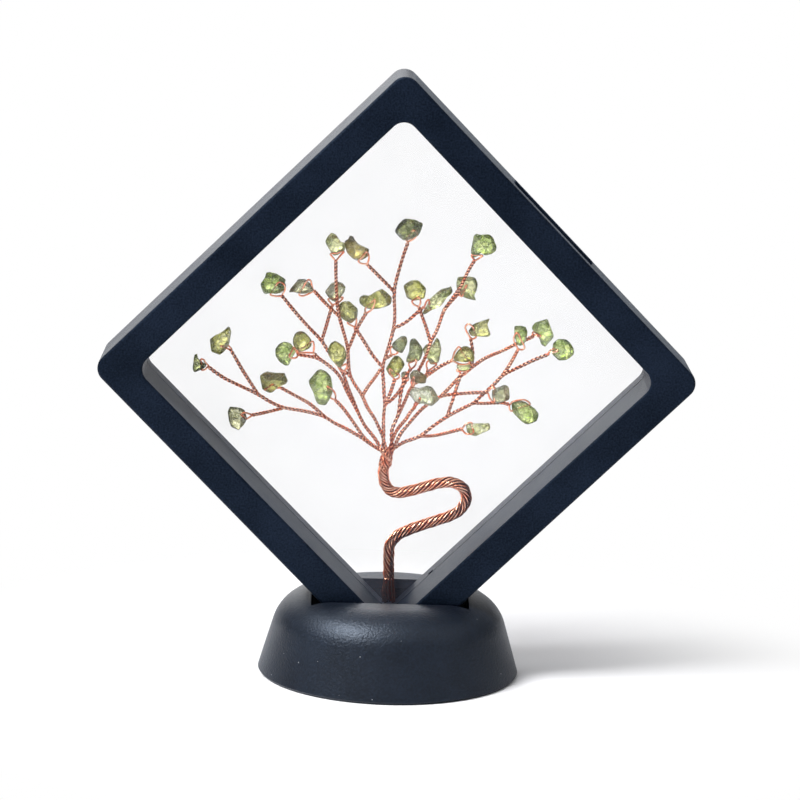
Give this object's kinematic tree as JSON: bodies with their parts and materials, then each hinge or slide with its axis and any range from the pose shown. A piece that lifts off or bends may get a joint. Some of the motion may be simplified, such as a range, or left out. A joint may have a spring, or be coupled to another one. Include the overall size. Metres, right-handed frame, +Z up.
{
  "type": "gemstone tree ornament",
  "caption": "Wire tree with gem chips held between clear films in a square case that stands on its corner in a round base.",
  "frame": {"origin": "middle of the base's underside, on the table", "axes": "+Z up, -Y towards the side seen in the picture, +X to that view's right"},
  "size_m": [0.1246, 0.0556, 0.1281],
  "materials": {
    "black_plastic": "fine moulded grain",
    "clear_film": "clear elastic film",
    "copper_wire": "bright drawn copper",
    "peridot": "tumbled and polished",
    "pin_steel": "drawn"
  },
  "bodies": {
    "stand": {"base_shell": "black_plastic", "base_slot_box": "black_plastic"},
    "case_back": {"back_film": "clear_film", "back_frame": "black_plastic", "branch_centre_single": "copper_wire", "branch_far_left": "copper_wire", "branch_left": "copper_wire", "branch_left_single": "copper_wire", "branch_low_right": "copper_wire", "branch_middle": "copper_wire", "branch_right": "copper_wire", "branch_upper_left": "copper_wire", "branch_upper_right": "copper_wire", "hinge_pin_lower": "pin_steel", "hinge_pin_upper": "pin_steel", "peridot_chip_01": "peridot", "peridot_chip_02": "peridot", "peridot_chip_03": "peridot", "peridot_chip_04": "peridot", "peridot_chip_05": "peridot", "peridot_chip_06": "peridot", "peridot_chip_07": "peridot", "peridot_chip_08": "peridot", "peridot_chip_09": "peridot", "peridot_chip_10": "peridot", "peridot_chip_11": "peridot", "peridot_chip_12": "peridot", "peridot_chip_13": "peridot", "peridot_chip_14": "peridot", "peridot_chip_15": "peridot", "peridot_chip_16": "peridot", "peridot_chip_17": "peridot", "peridot_chip_18": "peridot", "peridot_chip_19": "peridot", "peridot_chip_20": "peridot", "peridot_chip_21": "peridot", "peridot_chip_22": "peridot", "peridot_chip_23": "peridot", "peridot_chip_24": "peridot", "peridot_chip_25": "peridot", "peridot_chip_26": "peridot", "peridot_chip_27": "peridot", "peridot_chip_28": "peridot", "peridot_chip_29": "peridot", "peridot_chip_30": "peridot", "peridot_chip_31": "peridot", "peridot_chip_32": "peridot", "peridot_chip_33": "peridot", "peridot_chip_34": "peridot", "peridot_chip_35": "peridot", "peridot_chip_36": "peridot", "trunk_rope": "copper_wire", "trunk_tails": "copper_wire"},
    "case_front": {"front_frame": "black_plastic", "front_film": "clear_film"}
  },
  "joints": [
    {"name": "frame_lift", "type": "slide", "parent": "stand", "child": "case_back", "axis": [0, 0, 1], "range_m": [0, 0.15]},
    {"name": "case_open", "type": "hinge", "parent": "case_back", "child": "case_front", "pos_m": [-0.0321, 0.0045, 0.0337], "axis": [0.7071, 0, -0.7071], "range_deg": [0, 90]}
  ],
  "couplings": [
    {"joint": "case_open", "follows": "frame_lift", "rad_per_m": 10.47}
  ]
}
